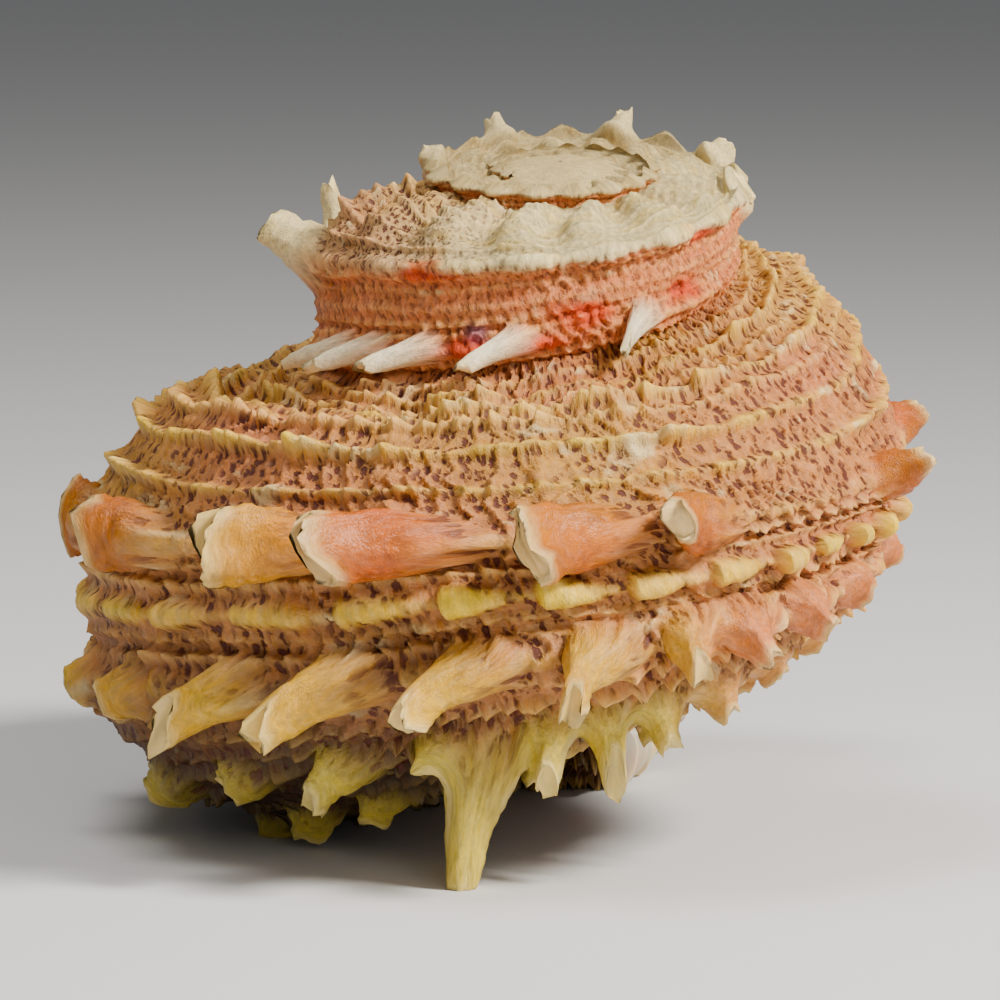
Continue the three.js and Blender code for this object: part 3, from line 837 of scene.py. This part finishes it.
def nacre_material():
    """The pearly lining of the mouth, and the chalky lip where its tint says so."""
    material, nodes, links, shader = new_material("shell_lining")
    tint, grow = attribute(nodes, "tint"), attribute(nodes, "grow").outputs["Vector"]
    clouds = noise(nodes, links, grow, 0.35, 3.0, 0.5).outputs["Fac"]
    varied = nodes.new("ShaderNodeHueSaturation")
    links.new(tint.outputs["Color"], varied.inputs["Color"])
    links.new(map_range(nodes, links, clouds, 0.3, 0.7, 0.47, 0.54), varied.inputs["Hue"])
    links.new(map_range(nodes, links, clouds, 0.35, 0.65, 1.15, 0.85), varied.inputs["Saturation"])
    links.new(varied.outputs["Color"], shader.inputs["Base Color"])
    gloss = attribute(nodes, "gloss").outputs["Fac"]
    links.new(map_range(nodes, links, gloss, 0.0, 1.0, 0.6, 0.22), shader.inputs["Roughness"])
    shader.inputs["Coat Weight"].default_value = 0.25
    bumped(nodes, links, shader, noise(nodes, links, grow, 1.1, 4.0, 0.6).outputs["Fac"], 0.1, 0.3)
    return material


LINING_TURNS = 0.9  # how far the lining of the hollow is followed inwards
LINING_ROWS = 110
RIM_ROWS = 10
RIM_BULGE = 0.9  # millimetres that the rounded lip reaches forward
LIP_CREAM = srgb(232, 214, 176)
NACRE = srgb(226, 222, 214)

# The mouth's edge against the older whorl, from the umbilicus up to the suture: distance from the axis and
# height, in keel radii.
PARIETAL = [(0.16, -0.04), (0.22, -0.2), (0.38, -0.14), (SUTURE_RHO, 0.0)]
PARIETAL_POINTS = 32


def hollow_ring(turn, angle):
    """Distance from the axis and height of the hollow's wall, at an angle about its middle."""
    wall = WALL / radius(turn)
    under_older = drop(turn) - DEEPEST * depth_below(turn - 1) / WHORL_RATIO
    top = np.minimum(ramp_height(turn, 0.35) - wall, under_older + HOLLOW_RISE)
    bottom = -DEEPEST * depth_below(turn) + wall
    inner, outer = HOLLOW_INNER + wall, HOLLOW_OUTER - wall
    rho = (inner + outer) / 2 + (outer - inner) / 2 * np.cos(angle)
    zeta = (top + bottom) / 2 + (top - bottom) / 2 * np.sin(angle)
    return rho, zeta


def parietal_edge():
    """The points of the mouth's edge against the older whorl."""
    edge = np.array(PARIETAL, float)
    edge[0, 1] *= depth_below(LIP_TURN)
    edge[1:3, 1] += drop(LIP_TURN)
    edge[3, 1] = suture_level(LIP_TURN)
    steps = np.linspace(0, 3, PARIETAL_POINTS + 2)[1:-1]
    return np.interp(steps, range(4), edge[:, 0]), np.interp(steps, range(4), edge[:, 1])


def angle_in_hollow(rho, zeta):
    """The angle of points about the middle of the hollow, at the lip."""
    east, west = hollow_ring(LIP_TURN, 0)[0], hollow_ring(LIP_TURN, math.pi)[0]
    high, low = hollow_ring(LIP_TURN, math.pi / 2)[1], hollow_ring(LIP_TURN, -math.pi / 2)[1]
    up = (zeta - (high + low) / 2) / (high - low)
    return np.arctan2(up, (rho - (east + west) / 2) / (east - west))


def closed_normals(points):
    """Normals of a grid whose last column meets its first."""
    wrapped = np.concatenate([points[:, -1:], points, points[:, :1]], axis=1)
    return grid_normals(wrapped)[:, 1:-1]


def mouth(body, places):
    """The rounded lip, from the last row of the body inwards, and the pearly lining of the hollow."""
    edge_rho, edge_zeta = parietal_edge()
    rho, zeta = section(np.full_like(places, LIP_TURN), places)
    angle = angle_in_hollow(np.concatenate([rho, edge_rho]), np.concatenate([zeta, edge_zeta]))
    outer = np.concatenate([body["points"][-1], place(LIP_TURN, edge_rho, edge_zeta)])
    inner = place(LIP_TURN, *hollow_ring(LIP_TURN, angle))
    forward = unit(place(LIP_TURN + 0.004, *hollow_ring(LIP_TURN, angle)) - inner)
    rows = []
    for i in range(RIM_ROWS):
        s = 0.5 - 0.5 * math.cos(math.pi * i / RIM_ROWS)
        bulge = RIM_BULGE * math.sqrt(max(4 * s * (1 - s), 0))
        rows.append(mix(outer, inner, s) + forward * bulge)
    for i in range(LINING_ROWS):
        turn = np.full_like(angle, LIP_TURN - LINING_TURNS * i / LINING_ROWS)
        rows.append(place(turn, *hollow_ring(turn, angle)))
    points = np.array(rows)
    row, across = np.meshgrid(np.arange(len(rows)), angle, indexing="ij")
    into = clamp01((row - RIM_ROWS * 0.55) / (RIM_ROWS * 0.9))
    lip_colour = np.concatenate([body["colour"][-1], np.broadcast_to(WALL_BROWN, (PARIETAL_POINTS, 3))])
    return dict(
        points=points,
        normals=closed_normals(points),
        colour=mix(mix(lip_colour, LIP_CREAM, 0.5)[None], NACRE, smooth(into)[..., None]),
        grow=np.stack([row * 0.9, across * 9, np.zeros(row.shape)], -1),
        gloss=into,
        pit=np.zeros(row.shape),
    )


APEX_TURN = -2.6
APEX_RINGS, APEX_SIDES = 14, 60
APEX_WIDTH = 0.78  # in keel radii
APEX_FOOT, APEX_HEIGHT = 1.6, 2.0  # how far its foot lies under the keel, and its height above that


def apex_cap():
    """The tip of the spire: a low rounded cap over the first turns, as a grid of rings."""
    tilt = np.linspace(0.02, 1.45, APEX_RINGS)[:, None] * np.ones(APEX_SIDES)
    round_it = np.linspace(0, 2 * math.pi, APEX_SIDES, endpoint=False)
    angle = -round_it[None] * np.ones((APEX_RINGS, 1))
    wide = radius(APEX_TURN) * APEX_WIDTH
    x, y = wide * np.sin(tilt) * np.cos(angle), wide * np.sin(tilt) * np.sin(angle)
    worn = 0.12 * (value_noise(x * 1.7 + 20, y * 1.7 + 20, 71) - 0.5)
    z = keel_level(APEX_TURN) - APEX_FOOT + APEX_HEIGHT * np.cos(tilt) + worn
    lean = LEAN * smooth((z - LEAN_FROM) / (LEAN_TO - LEAN_FROM))
    points = np.stack([x, y, z + lean * y], -1)
    mottled = 0.3 + 0.6 * value_noise(x * 2 + 9, y * 2 + 9, 72)
    return dict(
        points=points,
        normals=closed_normals(points),
        colour=layer(WHITE, GREY_BEIGE, mottled),
        grow=np.stack([x * 3, y * 3, z * 3], -1),
        gloss=np.zeros(tilt.shape),
        pit=np.zeros(tilt.shape),
    )


BODY_FIRST = -1.25
BODY_PIECES = 3
SUTURE = 0.03  # the grid starts this far from the older whorl
SPIRE_FIRST, SPIRE_LAST = -3.6, -1.2
SPIRE_PLACES_END = 8.0  # below this the older whorls are hidden by the next one
SPIRE_SIZE = 14.0  # the keel radius that the spire's grid is spaced for
SPIRE_STEP = 0.19
UMBILICUS_FIRST = -2.2
UMBILICUS_STEP = 0.3


def build_shell():
    outside, lining = shell_material(), nacre_material()
    places = even_places(SUTURE, SECTION_END, REFERENCE_RADIUS, STEP)
    body = grown_surface(even_turns(BODY_FIRST, LIP_TURN, STEP), places)
    cuts = np.linspace(0, len(places) - 1, BODY_PIECES + 1).astype(int)
    for k in range(BODY_PIECES):
        grid_object(f"last_whorl_{k + 1}", body, slice(cuts[k], cuts[k + 1] + 1), outside)
    turns = even_turns(SPIRE_FIRST, SPIRE_LAST, SPIRE_STEP)
    spire = grown_surface(turns, even_places(SUTURE, SPIRE_PLACES_END, SPIRE_SIZE, SPIRE_STEP))
    grid_object("spire", spire, slice(None), outside)
    turns = even_turns(UMBILICUS_FIRST, SPIRE_LAST, UMBILICUS_STEP)
    umbilicus = grown_surface(turns, even_places(BASE_CORD, SECTION_END, SPIRE_SIZE, UMBILICUS_STEP))
    grid_object("umbilicus_wall", umbilicus, slice(None), outside)
    grid_object("apex", apex_cap(), slice(None), outside, closed=True)
    grid_object("mouth", mouth(body, places), slice(None), lining, closed=True)


# The studio, in metres. The lights: name, place, size, power and colour.
TARGET = (0.0, 0.0, 0.022)
LIGHTS = [
    ("key", (0.25, -0.15, 0.28), 0.08, 3.1, (1.0, 0.95, 0.88)),
    ("fill", (0.1, -0.36, 0.15), 0.2, 0.3, (1.0, 0.97, 0.93)),
    ("top", (-0.12, -0.03, 0.40), 0.2, 1.0, (1.0, 0.98, 0.95)),
]
CAMERA_ELEVATION = math.radians(7)
CAMERA_DISTANCE = 0.45
CAMERA_LENS = 250.4
CAMERA_AIM = Vector((0.000569, -0.003408, 0.021484))
SKY_COLOUR, SKY_STRENGTH = (0.9, 0.92, 0.95, 1.0), 0.16
FLOOR_HALF = 2.0
FLOOR_GAP = 0.03 * MM  # the floor lies this much under the spine tips, so that they don't fight for one plane
FLOOR_COLOUR = (0.7, 0.7, 0.7, 1.0)


def light(name, where, size, power, colour):
    data = bpy.data.lights.new(name, "AREA")
    data.size = size
    data.energy = power
    data.color = colour
    lamp = bpy.data.objects.new(name, data)
    lamp.location = Vector(where)
    lamp.rotation_euler = (Vector(TARGET) - lamp.location).to_track_quat("-Z", "Y").to_euler()
    bpy.context.scene.collection.objects.link(lamp)


def build_camera():
    look = Vector((0, math.cos(CAMERA_ELEVATION), -math.sin(CAMERA_ELEVATION)))
    data = bpy.data.cameras.new("camera")
    data.lens = CAMERA_LENS
    data.sensor_width = 36.0
    data.clip_start = 0.01
    camera = bpy.data.objects.new("camera", data)
    camera.location = CAMERA_AIM - look * CAMERA_DISTANCE
    camera.rotation_euler = look.to_track_quat("-Z", "Y").to_euler()
    bpy.context.scene.collection.objects.link(camera)
    bpy.context.scene.camera = camera


def build_sky():
    world = bpy.data.worlds.new("studio")
    bpy.context.scene.world = world
    world.use_nodes = True
    background = world.node_tree.nodes["Background"]
    background.inputs["Color"].default_value = SKY_COLOUR
    background.inputs["Strength"].default_value = SKY_STRENGTH


def build_floor():
    mesh = bpy.data.meshes.new("floor")
    signs = ((-1, -1), (1, -1), (1, 1), (-1, 1))
    corners = [(x * FLOOR_HALF, y * FLOOR_HALF, -FLOOR_GAP) for x, y in signs]
    mesh.from_pydata(corners, [], [(0, 1, 2, 3)])
    floor = bpy.data.objects.new("floor", mesh)
    bpy.context.scene.collection.objects.link(floor)
    material, nodes, links, shader = new_material("floor")
    shader.inputs["Base Color"].default_value = FLOOR_COLOUR
    shader.inputs["Roughness"].default_value = 0.8
    mesh.materials.append(material)
    floor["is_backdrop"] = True


def build_studio():
    build_camera()
    for lamp in LIGHTS:
        light(*lamp)
    build_sky()
    build_floor()


build_shell()
build_studio()
sizes = {"cad": [list(corner) for corner in cad_box], "visual": [list(corner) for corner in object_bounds()]}
